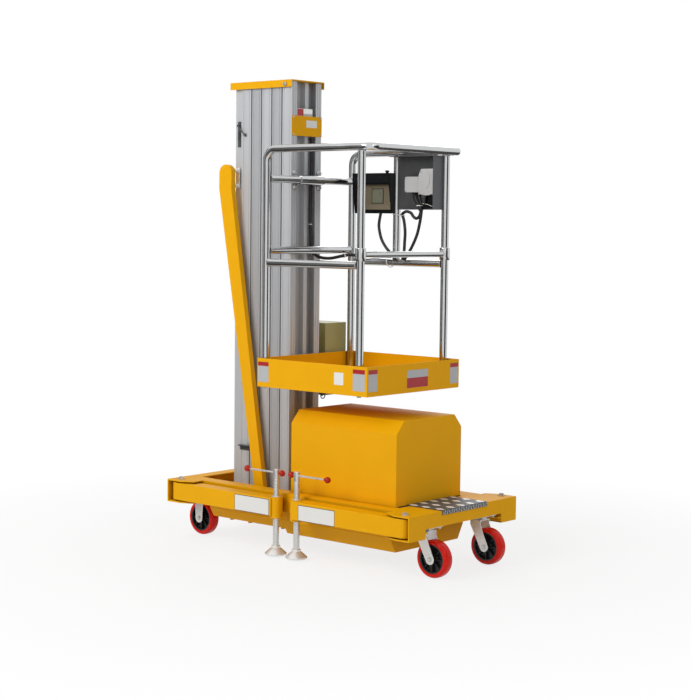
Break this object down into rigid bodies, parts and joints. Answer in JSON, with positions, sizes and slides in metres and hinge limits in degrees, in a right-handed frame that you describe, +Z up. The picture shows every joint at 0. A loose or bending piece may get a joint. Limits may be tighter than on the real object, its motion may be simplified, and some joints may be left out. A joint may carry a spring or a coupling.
{
  "type": "vertical mast lift",
  "caption": "Push-around vertical mast lift: a telescoping aluminium mast, a railed work platform, a base on casters, swing-out outriggers with screw jacks.",
  "frame": {"origin": "on the floor, under the middle of the parked machine's outline", "axes": "+X to the front, where the step and swivel casters are; +Y to the machine's left; +Z up along the mast"},
  "size_m": [1.452, 0.728, 1.99],
  "materials": {
    "yellow_paint": "gloss powder coat",
    "mast_aluminium": "anodised extrusion",
    "stainless": "polished tube",
    "zinc": "zinc plated",
    "red_tread": "moulded polyurethane",
    "hub_black": "moulded nylon",
    "checker_plate": "bright tread plate",
    "cabinet_paint": "powder coat",
    "box_black": "moulded",
    "grey_sheet": "painted sheet",
    "junction_grey": "moulded",
    "cable_black": "cable jacket",
    "unit_grey": "painted"
  },
  "bodies": {
    "chassis": {"base_frame": "yellow_paint", "belly_pan": "yellow_paint", "power_cover": "yellow_paint", "power_unit": "unit_grey", "step_plate": "checker_plate", "mast_section_1": "mast_aluminium", "strut_left": "yellow_paint", "strut_right": "yellow_paint", "cabinet": "cabinet_paint", "caster_fork_rear_left": "zinc", "caster_fork_rear_right": "zinc"},
    "mast_2": {"mast_section_2": "mast_aluminium"},
    "mast_3": {"mast_section_3": "mast_aluminium"},
    "mast_4": {"mast_section_4": "mast_aluminium"},
    "platform": {"mast_section_5": "mast_aluminium", "mast_cap": "yellow_paint", "name_board": "yellow_paint", "mast_cable": "cable_black", "tray": "yellow_paint", "tray_mount": "zinc", "cage_hoop_left": "stainless", "cage_hoop_right": "stainless", "cage_post_front_left": "stainless", "cage_post_front_right": "stainless", "cage_post_middle": "stainless", "cage_rail_left": "stainless", "cage_rail_right": "stainless", "cage_rail_rear_high": "stainless", "cage_rail_rear_low": "stainless", "mast_bracket": "zinc", "control_box": "box_black", "control_enclosure": "grey_sheet", "junction_boxes": "junction_grey", "platform_leads": "cable_black"},
    "gate": {"gate_bar": "stainless"},
    "outrigger_rear_right": {"outrigger_arm_rear_right": "yellow_paint"},
    "jack_rear_right": {"jack_rear_right": "zinc"},
    "outrigger_rear_left": {"outrigger_arm_rear_left": "yellow_paint"},
    "jack_rear_left": {"jack_rear_left": "zinc"},
    "outrigger_front_right": {"outrigger_arm_front_right": "yellow_paint"},
    "jack_front_right": {"jack_front_right": "zinc"},
    "outrigger_front_left": {"outrigger_arm_front_left": "yellow_paint"},
    "jack_front_left": {"jack_front_left": "zinc"},
    "caster_right": {"caster_fork_front_right": "zinc"},
    "caster_left": {"caster_fork_front_left": "zinc"},
    "wheel_rear_right": {"wheel_hub_rear_right": "hub_black", "wheel_tread_rear_right": "red_tread"},
    "wheel_rear_left": {"wheel_hub_rear_left": "hub_black", "wheel_tread_rear_left": "red_tread"},
    "wheel_front_right": {"wheel_hub_front_right": "hub_black", "wheel_tread_front_right": "red_tread"},
    "wheel_front_left": {"wheel_hub_front_left": "hub_black", "wheel_tread_front_left": "red_tread"}
  },
  "joints": [
    {"name": "mast_2_lift", "type": "slide", "parent": "chassis", "child": "mast_2", "axis": [0, 0, 1], "range_m": [0, 1.4]},
    {"name": "mast_3_lift", "type": "slide", "parent": "mast_2", "child": "mast_3", "axis": [0, 0, 1], "range_m": [0, 1.4]},
    {"name": "mast_4_lift", "type": "slide", "parent": "mast_3", "child": "mast_4", "axis": [0, 0, 1], "range_m": [0, 1.4]},
    {"name": "platform_lift", "type": "slide", "parent": "mast_4", "child": "platform", "axis": [0, 0, 1], "range_m": [0, 1.4]},
    {"name": "gate_slide", "type": "slide", "parent": "platform", "child": "gate", "axis": [0, 0, 1], "range_m": [0, 0.15]},
    {"name": "outrigger_rear_right_swing", "type": "hinge", "parent": "chassis", "child": "outrigger_rear_right", "pos_m": [-0.649, -0.318, 0.2125], "axis": [0, 0, -1], "range_deg": [0, 90]},
    {"name": "jack_rear_right_screw", "type": "slide", "parent": "outrigger_rear_right", "child": "jack_rear_right", "axis": [0, 0, 1], "range_m": [-0.06, 0.1]},
    {"name": "outrigger_rear_left_swing", "type": "hinge", "parent": "chassis", "child": "outrigger_rear_left", "pos_m": [-0.649, 0.318, 0.2125], "axis": [0, 0, 1], "range_deg": [0, 90]},
    {"name": "jack_rear_left_screw", "type": "slide", "parent": "outrigger_rear_left", "child": "jack_rear_left", "axis": [0, 0, 1], "range_m": [-0.06, 0.1]},
    {"name": "outrigger_front_right_swing", "type": "hinge", "parent": "chassis", "child": "outrigger_front_right", "pos_m": [0.611, -0.318, 0.2125], "axis": [0, 0, 1], "range_deg": [0, 90]},
    {"name": "jack_front_right_screw", "type": "slide", "parent": "outrigger_front_right", "child": "jack_front_right", "axis": [0, 0, 1], "range_m": [-0.06, 0.1]},
    {"name": "outrigger_front_left_swing", "type": "hinge", "parent": "chassis", "child": "outrigger_front_left", "pos_m": [0.611, 0.318, 0.2125], "axis": [0, 0, -1], "range_deg": [0, 90]},
    {"name": "jack_front_left_screw", "type": "slide", "parent": "outrigger_front_left", "child": "jack_front_left", "axis": [0, 0, 1], "range_m": [-0.06, 0.1]},
    {"name": "caster_right_swivel", "type": "hinge", "parent": "chassis", "child": "caster_right", "pos_m": [0.606, -0.178, 0.19], "axis": [0, 0, 1], "continuous": true},
    {"name": "caster_left_swivel", "type": "hinge", "parent": "chassis", "child": "caster_left", "pos_m": [0.606, 0.178, 0.19], "axis": [0, 0, 1], "continuous": true},
    {"name": "wheel_rear_right_spin", "type": "hinge", "parent": "chassis", "child": "wheel_rear_right", "pos_m": [-0.65, -0.178, 0.076], "axis": [0, 1, 0], "continuous": true},
    {"name": "wheel_rear_left_spin", "type": "hinge", "parent": "chassis", "child": "wheel_rear_left", "pos_m": [-0.65, 0.178, 0.076], "axis": [0, 1, 0], "continuous": true},
    {"name": "wheel_front_right_spin", "type": "hinge", "parent": "caster_right", "child": "wheel_front_right", "pos_m": [0.65, -0.178, 0.076], "axis": [0, 1, 0], "continuous": true},
    {"name": "wheel_front_left_spin", "type": "hinge", "parent": "caster_left", "child": "wheel_front_left", "pos_m": [0.65, 0.178, 0.076], "axis": [0, 1, 0], "continuous": true}
  ],
  "couplings": [
    {"joint": "mast_3_lift", "follows": "mast_2_lift", "ratio": 1},
    {"joint": "mast_4_lift", "follows": "mast_2_lift", "ratio": 1},
    {"joint": "platform_lift", "follows": "mast_2_lift", "ratio": 1}
  ]
}
